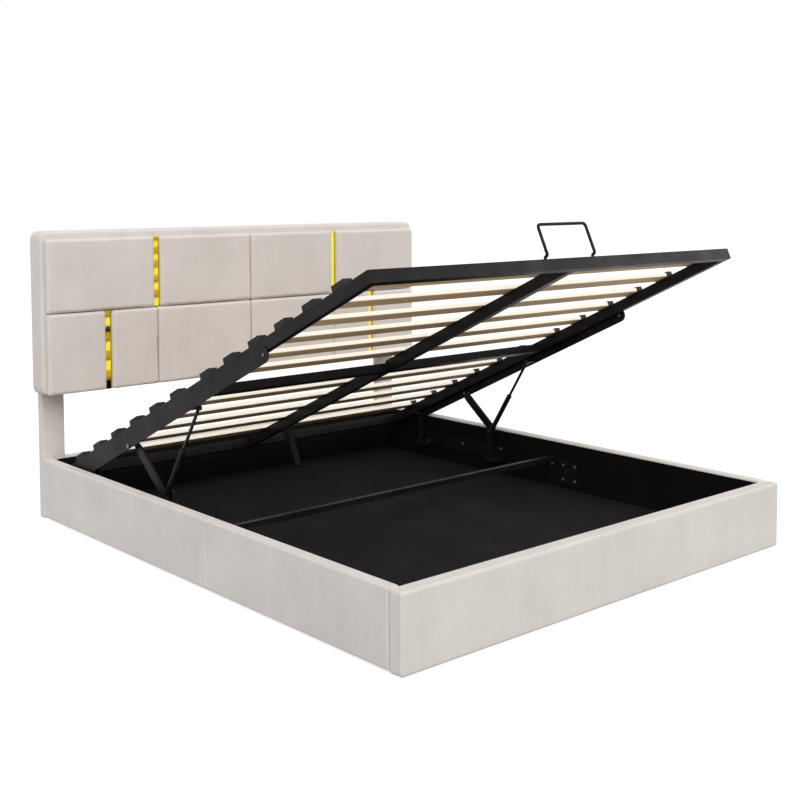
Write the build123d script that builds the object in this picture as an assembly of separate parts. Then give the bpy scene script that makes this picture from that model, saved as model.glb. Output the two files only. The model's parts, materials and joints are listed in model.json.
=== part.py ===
from build123d import *
import os
from math import asin, atan2, cos, degrees, hypot, radians, sin

# Upholstered lift-up storage bed.  X runs across the bed, +Y points to the
# head, +Z is up, and the origin is on the floor in the middle of the outline.
# The slatted platform is drawn raised on its side linkages.  Distances called
# "in" are counted from the outer face of a side rail towards the middle.

# Overall frame
bed_width = 1740.0
rail_height = 224.0
rail_thickness = 40.0
rail_floor_gap = 5.0
rail_rounding = 6.0
rail_foot_length = 869.0
storage_length = 2011.0
footboard_thickness = 53.0
footboard_rounding = 10.0
seam_gap = 0.3

# Lining and floor of the storage box
liner_thickness = 2.0
liner_top_margin = 0.5
floor_top = 34.0
floor_thickness = 12.0
floor_clearance = 0.3

# Posts and the rail between them
post_width = 90.0
post_depth = 34.0
post_top = 1010.0
post_rounding = 4.0

# Headboard
board_overhang = 36.0
board_bottom = 480.0
board_top = 1089.0
board_thickness = 94.0
board_corner = 28.0
board_rounding = 12.0
board_bolt_radius = 5.0
board_bolt_length = 50.0
board_bolt_head_radius = 9.0
board_bolt_head_height = 4.0
board_bolt_low = 560.0
board_bolt_pitch = 180.0
board_bolt_count = 3

# Headboard cushions and the gold strips between them
cushion_thickness = 26.0
cushion_side_border = 12.0
cushion_top_border = 27.0
cushion_bottom_border = 2.0
cushion_row_height = 785.0
cushion_seam_share = 0.4877
cushion_gap = 0.3
cushion_corner = 9.0
cushion_draw_in = 2.5
cushion_crown_share = 0.25
strip_width = 23.0
strip_thickness = 12.0
strip_groove = 26.0
strip_rounding = 2.0
strip_bottom_share = 0.7237
strip_end_gap = 2.0

# Joint plates where each side rail is made of two lengths
joint_plate_size = 100.0
joint_plate_thickness = 3.0
joint_plate_height = 101.0
joint_plate_corner = 8.0
joint_bolt_spread_y = 61.0
joint_bolt_spread_z = 58.0

# Cross bar over the floor of the box
cross_bar_place = 1012.0
cross_bar_top = 160.0
cross_bar_width = 20.0
cross_bar_height = 20.0
cross_tab_thickness = 3.0
cross_tab_drop = 28.0
cross_bolt_drop = 14.0

# Bolts that hold the metalwork to the rails
bolt_radius = 4.0
bolt_length = 26.0
bolt_head_radius = 7.0
bolt_head_height = 3.0
bolt_rounding = 1.0
bolt_clearance = 0.1

# Platform frame, in its own axes: along from its foot end, up from its top
platform_length = 1978.0
platform_in = 50.0
platform_tilt = 25.06
closed_top = 236.0
tube_wall = 1.5
side_tube_width = 25.0
side_tube_height = 38.0
end_rail_width = 25.0
mid_rail_width = 35.0
mid_rail_height = 30.0
centre_bar_width = 30.0

# Slats and their holders
slat_width = 55.0
slat_thickness = 15.0
slat_pitch = 150.0
slat_count = 6
slat_from_mid = 102.5
slat_rounding = 2.0
slat_clearance = 0.2
holder_height = 18.0
holder_foot = 62.0
holder_crest = 58.0
holder_depth = 31.0
holder_end_wall = 3.0

# Leg under the platform and the bar that holds the mattress
leg_size = 25.0
leg_along = 1687.0
leg_drop = 200.0
leg_foot_size = 30.0
leg_foot_height = 5.0
bar_radius = 5.0
bar_half_width = 110.0
bar_height = 114.0
bar_step_height = 12.0
bar_along = 2.0
bar_foot_along = 15.0
bar_foot_depth = 6.0
bar_bend = 6.0
bar_top_bend = 12.0

# Lift plates on the outside of the side tubes
plate_thickness = 3.0
plate_upper = 20.0
plate_lower = 70.0
plate_foot_end = 524.0
plate_head_end = 1830.0
plate_nose = 34.0
plate_bolt_head_radius = 6.0
plate_bolt_stand = 2.0

# Linkage pivots
pivot_drop = 60.0
arm_pivot_along = 1461.0
strut_pivot_along = 1040.0
rear_pivot_along = 1780.0
base_pivot_place = 1312.0
base_pivot_height = 222.0
arm_length = 224.0
arm_open_angle = 38.1
rear_pivot_offset = 80.0

# Linkage bars and pins
link_in = 76.5
link_thickness = 8.0
link_width = 25.0
arm_body_width = 34.0
arm_taper = 30.0
pin_radius = 5.0
pin_fit = 0.05
pin_head_radius = 8.0
pin_head_height = 3.5
pin_end_gap = 0.5
open_pin_gap = 0.3
strut_in = 96.0
strut_tube_radius = 10.0
strut_rod_radius = 5.5
strut_eye_radius = 11.0
strut_eye_thickness = 13.0
rod_eye_radius = 9.0
strut_neck = 7.0
strut_bottom_wall = 7.0
strut_end_gap = 1.0

# Brackets on the rails that carry the linkage
bracket_thickness = 2.5
bracket_low = 95.0
bracket_high = 150.0
bracket_foot_end = 1285.0
bracket_head_end = 1790.0
bracket_inner_gap = 2.5
ear_radius = 11.0
ear_foot_half = 27.0
rear_ear_gap = 1.0
bracket_bolts = ((1304.0, 140.0), (1536.0, 127.0), (1755.0, 108.0))
cut_overrun = 5.0

# Places that follow from the sizes above
bed_length = footboard_thickness + storage_length + post_depth
foot_face = -bed_length / 2
foot_inner = foot_face + footboard_thickness
rail_seam = foot_inner + rail_foot_length
post_front = foot_inner + storage_length
post_back = post_front + post_depth
half_width = bed_width / 2
wall_in = rail_thickness + liner_thickness
half_inner = half_width - wall_in
board_front = post_front - board_thickness
half_board = half_width + board_overhang
half_platform = half_width - platform_in
half_clear = half_platform - side_tube_width
platform_middle = platform_length / 2


def turned(along, up, angle):
    """A place on the platform, from its foot edge, with the platform at an angle."""
    return (along * cos(angle) + up * sin(angle), up * cos(angle) - along * sin(angle))


# Rest: the arm stands at its open angle and the platform hangs from its pins
open_tilt = radians(platform_tilt)
base_pivot_y = foot_face + base_pivot_place
arm_open = radians(arm_open_angle)
arm_pin_y = base_pivot_y + arm_length * cos(arm_open)
arm_pin_z = base_pivot_height + arm_length * sin(arm_open)
arm_offset = turned(arm_pivot_along, -pivot_drop, open_tilt)
edge_y = arm_pin_y - arm_offset[0]
edge_z = arm_pin_z - arm_offset[1]

# Closed: the platform lies level at its closed height
arm_closed = asin((closed_top - pivot_drop - base_pivot_height) / arm_length)
closed_edge_y = base_pivot_y + arm_length * cos(arm_closed) - arm_pivot_along
closed_pin_z = closed_top - pivot_drop


def open_place(along, up):
    """Where a place on the platform is when the platform is raised."""
    offset = turned(along, up, open_tilt)
    return edge_y + offset[0], edge_z + offset[1]


# The rear link turns about the point that is level with both ends of its travel
rear_open_y, rear_open_z = open_place(rear_pivot_along, -pivot_drop)
rear_run = closed_edge_y + rear_pivot_along - rear_open_y
rear_rise = closed_pin_z - rear_open_z
rear_chord = hypot(rear_run, rear_rise)
rear_y = rear_open_y + rear_run / 2 + rear_pivot_offset * rear_rise / rear_chord
rear_z = rear_open_z + rear_rise / 2 - rear_pivot_offset * rear_run / rear_chord
rear_length = hypot(rear_open_y - rear_y, rear_open_z - rear_z)
rear_open = atan2(rear_open_z - rear_z, rear_open_y - rear_y)
rear_closed = atan2(closed_pin_z - rear_z, closed_edge_y + rear_pivot_along - rear_y)

# The strut reaches from the base pivot to its pin on the lift plate
strut_open_y, strut_open_z = open_place(strut_pivot_along, -pivot_drop)
strut_open_length = hypot(strut_open_y - base_pivot_y, strut_open_z - base_pivot_height)
strut_open = atan2(strut_open_z - base_pivot_height, strut_open_y - base_pivot_y)
strut_closed_y = closed_edge_y + strut_pivot_along - base_pivot_y
strut_closed_z = closed_pin_z - base_pivot_height
strut_closed_length = hypot(strut_closed_y, strut_closed_z)
strut_closed = atan2(-strut_closed_z, -strut_closed_y) + radians(180)


def block(x_low, x_high, y_low, y_high, z_low, z_high):
    """A box between two opposite corners."""
    middle = Pos((x_low + x_high) / 2, (y_low + y_high) / 2, (z_low + z_high) / 2)
    return middle * Box(x_high - x_low, y_high - y_low, z_high - z_low)


def side(inward):
    """The X of a place on the left side, counted in from the rail's outer face."""
    return inward - half_width


def rod_x(radius, x_low, x_high, y, z):
    """A round bar along X."""
    length = x_high - x_low
    return Pos(x_low + length / 2, y, z) * Rot(0, 90, 0) * Cylinder(radius, length)


def tilted(shape):
    """A platform piece, drawn level from the foot edge, moved to its raised place."""
    return Pos(0, edge_y, edge_z) * Rot(-platform_tilt, 0, 0) * shape


def level_box(x_low, x_high, along_low, along_high, up_low, up_high):
    """A box in the platform's own axes."""
    return block(x_low, x_high, along_low, along_high, up_low, up_high)


def write(name, *solids):
    """Write one node's solids to its file."""
    shape = solids[0] if len(solids) == 1 else Compound(children=list(solids))
    export_step(shape, f"parts/{name}.step")


def write_pair(name, *solids):
    """Write a left-hand node and its mirror image on the right."""
    write(f"{name}_left", *solids)
    write(f"{name}_right", *[mirror(solid, about=Plane.YZ) for solid in solids])


def both(solids):
    """Solids on the left together with their mirror images."""
    return solids + [mirror(solid, about=Plane.YZ) for solid in solids]


def padded_block(x_low, x_high, y_low, y_high, z_low, z_high, rounding):
    """A board wrapped in padding and cloth, so with every edge rounded."""
    board = block(x_low, x_high, y_low, y_high, z_low, z_high)
    thinnest = min(x_high - x_low, y_high - y_low, z_high - z_low)
    return fillet(board.edges(), min(rounding, thinnest / 3))


# Bolts into the side rails: each has its face, its place and the depth it fills
joint_face = wall_in + joint_plate_thickness
cross_face = wall_in + cross_tab_thickness
bracket_face = wall_in + bracket_thickness


def joint_bolt_places():
    """Four bolt places on the plate over the seam of a side rail."""
    y_half, z_half = joint_bolt_spread_y / 2, joint_bolt_spread_z / 2
    corners = ((-1, -1), (-1, 1), (1, -1), (1, 1))
    return [(rail_seam + p * y_half, joint_plate_height + q * z_half) for p, q in corners]


def cross_bolt_places():
    """The bolt place at an end of the cross bar."""
    drop = cross_bar_height + cross_bolt_drop
    return [(foot_face + cross_bar_place, cross_bar_top - drop)]


def bracket_bolt_places():
    """Three bolt places along the linkage bracket."""
    return [(foot_face + y, z) for y, z in bracket_bolts]


def bolt_holes(solid):
    """Cut the holes of every bolt that goes into the left rail."""
    places = joint_bolt_places() + cross_bolt_places() + bracket_bolt_places()
    low = side(wall_in - bolt_length - bolt_clearance)
    high = side(bracket_face + cut_overrun)
    for y, z in places:
        solid -= rod_x(bolt_radius + bolt_clearance, low, high, y, z)
    return solid


def rail_bolt(face, y, z):
    """A round-headed bolt with its head on a face and its shank in the rail."""
    shank = rod_x(bolt_radius, side(wall_in - bolt_length), side(face), y, z)
    head = rod_x(bolt_head_radius, side(face), side(face + bolt_head_height), y, z)
    crown = head.edges().sort_by(Axis.X)[-1]
    return shank + fillet(crown, min(bolt_rounding, bolt_head_height / 3))


def build_side_rails():
    """Each side rail is two padded lengths that meet at the seam."""
    foot = padded_block(side(0), side(rail_thickness), foot_inner + seam_gap,
                        rail_seam - seam_gap / 2, rail_floor_gap, rail_height, rail_rounding)
    head = padded_block(side(0), side(rail_thickness), rail_seam + seam_gap / 2,
                        post_front - seam_gap, rail_floor_gap, rail_height, rail_rounding)
    for end, rail in (("foot", foot), ("head", head)):
        rail = bolt_holes(rail)
        write(f"side_rail_left_{end}", rail)
        write(f"side_rail_right_{end}", mirror(rail, about=Plane.YZ))


def build_footboard():
    """The padded foot panel stands on the floor across the full width."""
    write("footboard", padded_block(-half_width, half_width, foot_face, foot_inner, 0,
                                    rail_height, footboard_rounding))


def build_liners():
    """Black lining sheets on the inner faces of the sides and of both ends."""
    top = rail_height - liner_top_margin - rail_rounding
    sheet = block(side(rail_thickness), side(wall_in), foot_inner + liner_thickness,
                  post_front - liner_thickness, floor_top, top)
    write_pair("liner", bolt_holes(sheet))
    half = half_inner + liner_thickness
    write("liner_ends", *[block(-half, half, y, y + liner_thickness, floor_top, top)
                          for y in (foot_inner, post_front - liner_thickness)])


def build_floor():
    """Two floor panels that meet under the cross bar."""
    half = half_width - rail_thickness - floor_clearance
    middle = foot_face + cross_bar_place
    low = floor_top - floor_thickness
    write("floor_panel_foot", block(-half, half, foot_inner + floor_clearance,
                                    middle - floor_clearance / 2, low, floor_top))
    write("floor_panel_head", block(-half, half, middle + floor_clearance / 2,
                                    post_front - floor_clearance, low, floor_top))


def board_bolt_heights():
    """Heights of the bolts that hold the headboard to a post."""
    return [board_bolt_low + k * board_bolt_pitch for k in range(board_bolt_count)]


def rod_y(radius, y_low, y_high, x, z):
    """A round bar along Y."""
    length = y_high - y_low
    return Pos(x, y_low + length / 2, z) * Rot(90, 0, 0) * Cylinder(radius, length)


def board_bolt(z, spread):
    """The bolt of one height, or the room it needs when spread by a clearance."""
    x = side(post_width / 2)
    front = post_back - board_bolt_length - spread
    seat = post_back - board_bolt_head_height
    shank = rod_y(board_bolt_radius + spread, front, post_back, x, z)
    return shank + rod_y(board_bolt_head_radius + spread, seat, post_back, x, z)


def build_headboard():
    """Posts, the rail between them, the padded board and its bolts."""
    post = block(side(0), side(post_width), post_front, post_back, 0, post_top)
    post = fillet(post.edges().filter_by(Axis.Z), min(post_rounding, post_depth / 3))
    board = block(-half_board, half_board, board_front, post_front, board_bottom, board_top)
    board = fillet(board.edges().filter_by(Axis.Y), board_corner)
    faces = board.faces().sort_by(Axis.Y)
    rims = faces[0].edges() + faces[-1].edges()
    board = fillet(rims, min(board_rounding, board_thickness / 3))
    for z in board_bolt_heights():
        room = board_bolt(z, bolt_clearance)
        post -= room
        board -= room
        board -= mirror(room, about=Plane.YZ)
    write_pair("post", post)
    write("headboard_board", board)
    write("headboard_bolts", *both([board_bolt(z, 0) for z in board_bolt_heights()]))
    write("head_rail", block(side(post_width), -side(post_width), post_front, post_back,
                             rail_floor_gap, rail_height))


# Profile of a cushion's edge: share of its thickness, share of the crown's reach.
# The crown's reach is itself a share of the cushion's shorter side.
cushion_depth_shares = (0.0, 0.28, 0.52, 0.7, 0.83, 0.92, 0.97, 1.0)
cushion_reach_shares = (0.0, 0.0, 0.03, 0.09, 0.19, 0.36, 0.6, 1.0)


def cushion(x_low, x_high, z_low, z_high):
    """A stuffed panel: drawn in at the board, crowned towards the front."""
    sections = []
    back = board_front - cushion_gap
    crown_reach = cushion_crown_share * min(x_high - x_low, z_high - z_low)
    middle_x, middle_z = (x_low + x_high) / 2, (z_low + z_high) / 2
    for depth, reach in zip(cushion_depth_shares, cushion_reach_shares):
        inset = cushion_gap + crown_reach * reach
        inset += cushion_draw_in if depth == 0 else 0
        plane = Plane(origin=(middle_x, back - depth * cushion_thickness, middle_z),
                      x_dir=(1, 0, 0), z_dir=(0, -1, 0))
        width, height = x_high - x_low - 2 * inset, z_high - z_low - 2 * inset
        sections.append(plane * RectangleRounded(width, height, cushion_corner + inset / 2))
    return loft(sections, ruled=True)


# Seams and strips stand at shares of the half width that the cushions cover
half_cushions = half_board - cushion_side_border
cushion_seam = cushion_seam_share * half_cushions
strip_bottom_offset = strip_bottom_share * half_cushions


def cushion_columns(strips):
    """The spans of X between the board's borders, the strips and the plain seams."""
    groove = strip_groove / 2
    marks = [(-half_cushions, 0)]
    for x in (-strip_bottom_offset, -cushion_seam, 0, cushion_seam, strip_bottom_offset):
        if x in strips:
            marks.append((x, groove))
        elif abs(x) != strip_bottom_offset:
            marks.append((x, 0))
    marks.append((half_cushions, 0))
    return [(a + wide_a, b - wide_b) for (a, wide_a), (b, wide_b) in zip(marks, marks[1:])]


top_strips = (-cushion_seam, cushion_seam)
bottom_strips = (-strip_bottom_offset, strip_bottom_offset)
cushion_low = board_bottom + cushion_bottom_border
cushion_high = board_top - cushion_top_border


def strip(x, z_low, z_high):
    """A gold strip standing in its groove on the board."""
    half = strip_width / 2
    bar = block(x - half, x + half, board_front - strip_thickness, board_front, z_low, z_high)
    front = bar.faces().sort_by(Axis.Y)[0]
    return fillet(front.edges(), min(strip_rounding, strip_thickness / 3))


def build_cushions():
    """Four cushions above, six below, with two gold strips in each row."""
    for k, (a, b) in enumerate(cushion_columns(top_strips)):
        write(f"headboard_cushion_top_{k + 1}",
              cushion(a, b, cushion_row_height, cushion_high))
    for k, (a, b) in enumerate(cushion_columns(bottom_strips)):
        write(f"headboard_cushion_bottom_{k + 1}",
              cushion(a, b, cushion_low, cushion_row_height))
    write("gold_strips_top", *[strip(x, cushion_row_height + strip_end_gap / 2,
                                     cushion_high - strip_end_gap) for x in top_strips])
    write("gold_strips_bottom", *[strip(x, cushion_low, cushion_row_height - strip_end_gap / 2)
                                  for x in bottom_strips])


def build_joint_plates():
    """A steel plate over the seam on the inner face of each side rail."""
    half = joint_plate_size / 2
    plate = block(side(wall_in), side(joint_face), rail_seam - half, rail_seam + half,
                  joint_plate_height - half, joint_plate_height + half)
    plate = fillet(plate.edges().filter_by(Axis.X), joint_plate_corner)
    write_pair("joint_plate", bolt_holes(plate))


def build_cross_bar():
    """A flat hollow bar across the box with a tab at each end."""
    middle, half = foot_face + cross_bar_place, cross_bar_width / 2
    low = cross_bar_top - cross_bar_height
    bar = block(-half_inner, half_inner, middle - half, middle + half, low, cross_bar_top)
    inner = half_inner - cross_tab_thickness
    bar -= block(-inner, inner, middle - half + tube_wall, middle + half - tube_wall,
                 low + tube_wall, cross_bar_top - tube_wall)
    tab = block(side(wall_in), side(cross_face), middle - half, middle + half,
                low - cross_tab_drop, low)
    tab = bolt_holes(tab)
    write("cross_bar", bar + tab + mirror(tab, about=Plane.YZ))


def ear(y, z, x_low):
    """A tapered upright lug on the bracket's shelf, round a pin."""
    foot = bracket_low
    points = ((y - ear_foot_half, foot), (y + ear_foot_half, foot),
              (y + ear_radius, z), (y - ear_radius, z))
    outline = Plane.YZ * make_face(Polyline(*points, close=True))
    outline += Plane.YZ * (Pos(y, z) * Circle(ear_radius))
    lug = Pos(x_low, 0, 0) * extrude(outline, bracket_thickness, dir=(1, 0, 0))
    hole = rod_x(pin_radius + pin_fit, x_low - cut_overrun,
                 x_low + bracket_thickness + cut_overrun, y, z)
    return lug - hole


plate_half = (plate_lower - plate_upper) / 2
base_ear_x = side(strut_in + strut_tube_radius + bracket_inner_gap)
rear_ear_x = side(link_in + link_thickness + rear_ear_gap)


def build_brackets():
    """A steel bracket on each rail: a flange, two shelves and two lugs for pins."""
    flange = block(side(wall_in), side(bracket_face), foot_face + bracket_foot_end,
                   foot_face + bracket_head_end, bracket_low, bracket_high)
    piece = bolt_holes(flange)
    for y, z, x in ((base_pivot_y, base_pivot_height, base_ear_x),
                    (rear_y, rear_z, rear_ear_x)):
        shelf_head = min(y + ear_foot_half, foot_face + bracket_head_end)
        piece += block(side(wall_in), x + bracket_thickness, y - ear_foot_half, shelf_head,
                       bracket_low, bracket_low + bracket_thickness)
        piece += ear(y, z, x)
    write_pair("base_bracket", piece)


def headed_pin(x_end, x_head, y, z, head_out):
    """A pin from its free end to the face its head sits on."""
    low, high = min(x_end, x_head), max(x_end, x_head)
    shank = rod_x(pin_radius, low, high, y, z)
    if head_out:
        return shank + rod_x(pin_head_radius, x_head - pin_head_height, x_head, y, z)
    return shank + rod_x(pin_head_radius, x_head, x_head + pin_head_height, y, z)


def build_pins():
    """Pins of the pivots, and the bolt through each lift plate's foot end."""
    end = side(link_in - pin_end_gap)
    base_pin = headed_pin(end, base_ear_x + bracket_thickness, base_pivot_y,
                          base_pivot_height, False)
    rear_pin = headed_pin(end, rear_ear_x + bracket_thickness, rear_y, rear_z, False)
    write("bracket_pins", *both([base_pin, rear_pin]))
    inner = side(link_in + link_thickness + pin_end_gap)
    arm_pin = headed_pin(inner, side(platform_in - plate_thickness), arm_pin_y,
                         arm_pin_z, True)
    bolt_y, bolt_z = open_place(plate_foot_end + plate_half, -plate_upper - plate_half)
    end_bolt = rod_x(pin_radius, side(platform_in - plate_thickness - plate_bolt_stand),
                     side(platform_in), bolt_y, bolt_z)
    end_bolt += rod_x(plate_bolt_head_radius, side(platform_in),
                      side(platform_in + bolt_head_height), bolt_y, bolt_z)
    write("platform_pins", *both([arm_pin, end_bolt]))


def build_frame_bolts():
    """All round-headed bolts that go into the side rails."""
    bolts = [rail_bolt(joint_face, y, z) for y, z in joint_bolt_places()]
    bolts += [rail_bolt(cross_face, y, z) for y, z in cross_bolt_places()]
    bolts += [rail_bolt(bracket_face, y, z) for y, z in bracket_bolt_places()]
    write("frame_bolts", *both(bolts))


def mitred(points, bore_low, bore_high):
    """A tube with slanted ends, from its plan outline and the corners of its bore."""
    outline = make_face(Polyline(*points, close=True))
    tube = Pos(0, 0, -side_tube_height) * extrude(outline, side_tube_height)
    bore = level_box(bore_low[0], bore_high[0], bore_low[1], bore_high[1],
                     tube_wall - side_tube_height, -tube_wall)
    return tilted(tube - bore)


def build_platform_frame():
    """Side tubes and end rails with slanted corners, the mid rail and the centre bar."""
    length, wide = platform_length, end_rail_width
    points = ((-half_platform, 0), (-half_clear, wide), (-half_clear, length - wide),
              (-half_platform, length))
    tube = mitred(points, (-half_platform + tube_wall, -cut_overrun),
                  (-half_clear - tube_wall, length + cut_overrun))
    write_pair("platform_rail", tube)
    points = ((-half_platform, 0), (half_platform, 0), (half_clear, wide), (-half_clear, wide))
    reach = half_platform + cut_overrun
    foot = mitred(points, (-reach, tube_wall), (reach, wide - tube_wall))
    write("platform_foot_rail", foot_rail_holes(foot))
    points = ((-half_clear, length - wide), (half_clear, length - wide),
              (half_platform, length), (-half_platform, length))
    head = mitred(points, (-reach, length - wide + tube_wall), (reach, length - tube_wall))
    write("platform_head_rail", head)
    low, half = platform_middle - mid_rail_width / 2, mid_rail_width / 2
    mid = level_box(-half_clear, half_clear, low, low + mid_rail_width,
                    -side_tube_height, mid_rail_height - side_tube_height)
    mid -= level_box(-reach, reach, low + tube_wall, low + mid_rail_width - tube_wall,
                     tube_wall - side_tube_height,
                     mid_rail_height - side_tube_height - tube_wall)
    write("platform_mid_rail", tilted(mid))
    spans = ((wide, platform_middle - half), (platform_middle + half, length - wide))
    write("platform_centre_bar", *[centre_bar(a, b) for a, b in spans])


def centre_bar(along_low, along_high):
    """One length of the bar under the inner ends of the slats."""
    half = centre_bar_width / 2
    bar = level_box(-half, half, along_low, along_high, -side_tube_height, 0)
    bar -= level_box(tube_wall - half, half - tube_wall, along_low - cut_overrun,
                     along_high + cut_overrun, tube_wall - side_tube_height, -tube_wall)
    return tilted(bar)


def slat_places(end):
    """Places along the platform of the slats on one side of the mid rail."""
    way = -1 if end == "foot" else 1
    return [platform_middle + way * (slat_from_mid + k * slat_pitch) for k in range(slat_count)]


def slat(along):
    """One wooden slat from the left holder over the centre bar to the right holder."""
    reach = half_platform - holder_end_wall - slat_clearance
    half = slat_width / 2
    strip_solid = level_box(-reach, reach, along - half, along + half, slat_clearance,
                            slat_clearance + slat_thickness)
    long_edges = strip_solid.edges().filter_by(Axis.X)
    return fillet(long_edges, min(slat_rounding, slat_thickness / 3))


def holder(along):
    """A moulded cap with sloping shoulders that holds a slat's end down on the side tube."""
    foot, crest = holder_foot / 2, holder_crest / 2
    points = ((along - foot, 0), (along + foot, 0), (along + crest, holder_height),
              (along - crest, holder_height))
    outline = Plane.YZ * make_face(Polyline(*points, close=True))
    cap = Pos(-half_platform, 0, 0) * extrude(outline, holder_depth, dir=(1, 0, 0))
    half = slat_width / 2 + slat_clearance
    cap -= level_box(-half_platform + holder_end_wall, -half_platform + holder_depth + cut_overrun,
                     along - half, along + half, -cut_overrun,
                     slat_thickness + 2 * slat_clearance)
    return tilted(cap)


def build_slats():
    """Two groups of slats and the holders that carry their ends."""
    for end in ("foot", "head"):
        write(f"slats_{end}", *[tilted(slat(along)) for along in slat_places(end)])
    write_pair("slat_holders", *[holder(along) for end in ("foot", "head")
                                 for along in slat_places(end)])


def build_leg():
    """The leg under the centre bar, with its foot cap."""
    half, foot_half = leg_size / 2, leg_foot_size / 2
    post = level_box(-half, half, leg_along - half, leg_along + half,
                     leg_foot_height - leg_drop, -side_tube_height)
    foot = level_box(-foot_half, foot_half, leg_along - foot_half, leg_along + foot_half,
                     -leg_drop, leg_foot_height - leg_drop)
    write("centre_leg", tilted(post + foot))


def build_mattress_bar():
    """A bent rod on the foot rail, with one unbroken centre line."""
    corners = [(bar_foot_along, -bar_foot_depth), (bar_foot_along, bar_step_height),
               (bar_along, bar_step_height), (bar_along, bar_height)]
    left = [(-bar_half_width, along, up) for along, up in corners]
    right = [(bar_half_width, along, up) for along, up in reversed(corners)]
    bends = [bar_bend, bar_bend, bar_top_bend, bar_top_bend, bar_bend, bar_bend]
    path = FilletPolyline(*left, *right, radius=bends)
    start = Plane(origin=left[0], x_dir=(1, 0, 0), z_dir=(0, 0, 1))
    write("mattress_bar", tilted(sweep(start * Circle(bar_radius), path)))


def foot_rail_holes(solid):
    """Holes in the foot rail for the ends of the mattress bar."""
    for x in (-bar_half_width, bar_half_width):
        hole = Pos(x, bar_foot_along, 0) * Cylinder(bar_radius + bolt_clearance,
                                                    2 * bar_foot_depth)
        solid -= tilted(hole)
    return solid


def build_lift_plates():
    """The long plate outside each side tube: round at the foot end, cut at the head."""
    high, low = -plate_upper, -plate_lower
    start, middle = plate_foot_end + plate_half, (high + low) / 2
    points = ((start, high), (start, low), (plate_head_end - plate_nose, low),
              (plate_head_end, low + plate_nose), (plate_head_end, high))
    outline = Plane.YZ * make_face(Polyline(*points, close=True))
    outline += Plane.YZ * (Pos(start, middle) * Circle(plate_half))
    x_low = side(platform_in - plate_thickness)
    plate = Pos(x_low, 0, 0) * extrude(outline, plate_thickness, dir=(1, 0, 0))
    hole = rod_x(pin_radius + pin_fit, x_low - cut_overrun,
                 x_low + plate_thickness + cut_overrun, arm_pivot_along, -pivot_drop)
    bolt_hole = rod_x(pin_radius + pin_fit, x_low - cut_overrun,
                      x_low + plate_thickness + cut_overrun, start, middle)
    write_pair("lift_plate", tilted(plate - hole - bolt_hole))


def link(length, bored_ends, body_half):
    """A flat bar along Y with rounded ends, a body and a bore at each named end."""
    x_low, x_high = side(link_in), side(link_in + link_thickness)
    outline = Plane.YZ * (Pos(length / 2, 0) * SlotCenterToCenter(length, link_width))
    bar = Pos(x_low, 0, 0) * extrude(outline, link_thickness, dir=(1, 0, 0))
    if body_half > link_width / 2:
        end = link_width / 2
        half = ((0, end), (arm_taper, body_half), (length - arm_taper, body_half), (length, end))
        mirrored = [(y, -z) for y, z in reversed(half)]
        body = Plane.YZ * make_face(Polyline(*half, *mirrored, close=True))
        bar += Pos(x_low, 0, 0) * extrude(body, link_thickness, dir=(1, 0, 0))
    for y in bored_ends:
        bar -= rod_x(pin_radius + pin_fit, x_low - cut_overrun, x_high + cut_overrun, y, 0)
    return bar


def build_links():
    """The lift arms, and the rear links with their studs."""
    arm = link(arm_length, (0, arm_length), arm_body_width / 2)
    place = Pos(0, base_pivot_y, base_pivot_height) * Rot(arm_open_angle, 0, 0)
    write_pair("lift_arm", place * arm)
    rear = link(rear_length, (0,), link_width / 2)
    rear += rod_x(pin_radius, side(platform_in + open_pin_gap),
                  side(link_in + link_thickness), rear_length, 0)
    write_pair("rear_link", Pos(0, rear_y, rear_z) * Rot(degrees(rear_open), 0, 0) * rear)


def build_struts():
    """Gas struts: a tube that turns on the base pivot and a rod that slides in it."""
    x = side(strut_in)
    eye_half = strut_eye_thickness / 2
    tube_end = strut_closed_length - rod_eye_radius - strut_end_gap
    tube = rod_y(strut_tube_radius, strut_neck, tube_end, x, 0)
    tube += rod_x(strut_eye_radius, x - eye_half, x + eye_half, 0, 0)
    bottom = strut_neck + strut_bottom_wall
    tube -= rod_y(strut_rod_radius + pin_fit, bottom, tube_end + cut_overrun, x, 0)
    tube -= rod_x(pin_radius + pin_fit, x - strut_tube_radius, x + strut_tube_radius, 0, 0)
    rod_length = strut_closed_length - bottom - strut_end_gap
    end = strut_open_length
    rod = rod_y(strut_rod_radius, end - rod_length, end, x, 0)
    rod += rod_x(rod_eye_radius, x - eye_half, x + eye_half, end, 0)
    rod += rod_x(pin_radius, side(platform_in + open_pin_gap), x + eye_half, end, 0)
    place = Pos(0, base_pivot_y, base_pivot_height) * Rot(degrees(strut_open), 0, 0)
    write_pair("strut_tube", place * tube)
    write_pair("strut_rod", place * rod)


build_side_rails()
build_footboard()
build_liners()
build_floor()
build_headboard()
build_cushions()
build_joint_plates()
build_cross_bar()
build_brackets()
build_pins()
build_frame_bolts()
build_platform_frame()
build_slats()
build_leg()
build_mattress_bar()
build_lift_plates()
build_links()
build_struts()

main_turn = arm_closed - arm_open
print("main hinge", base_pivot_y, base_pivot_height, "closes by", degrees(main_turn))
print("platform pivot", arm_pin_y, arm_pin_z, "ratio", (open_tilt - main_turn) / main_turn)
print("rear pivot", rear_y, rear_z, "ratio", (rear_closed - rear_open) / main_turn)
print("strut ratio", (strut_closed - strut_open) / main_turn)
strut_stroke = strut_closed_length - strut_open_length
print("strut slides", strut_stroke, "direction", cos(strut_open), sin(strut_open))
print("rod ratio in metres per radian", strut_stroke / 1000 / main_turn)
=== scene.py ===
"""Dressing of an upholstered storage bed whose slatted platform lifts on struts.

The bed's steel frame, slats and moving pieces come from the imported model.  This
script adds its upholstery, its fasteners, its finishes and a plain studio.
"""

import json
import math

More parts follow.
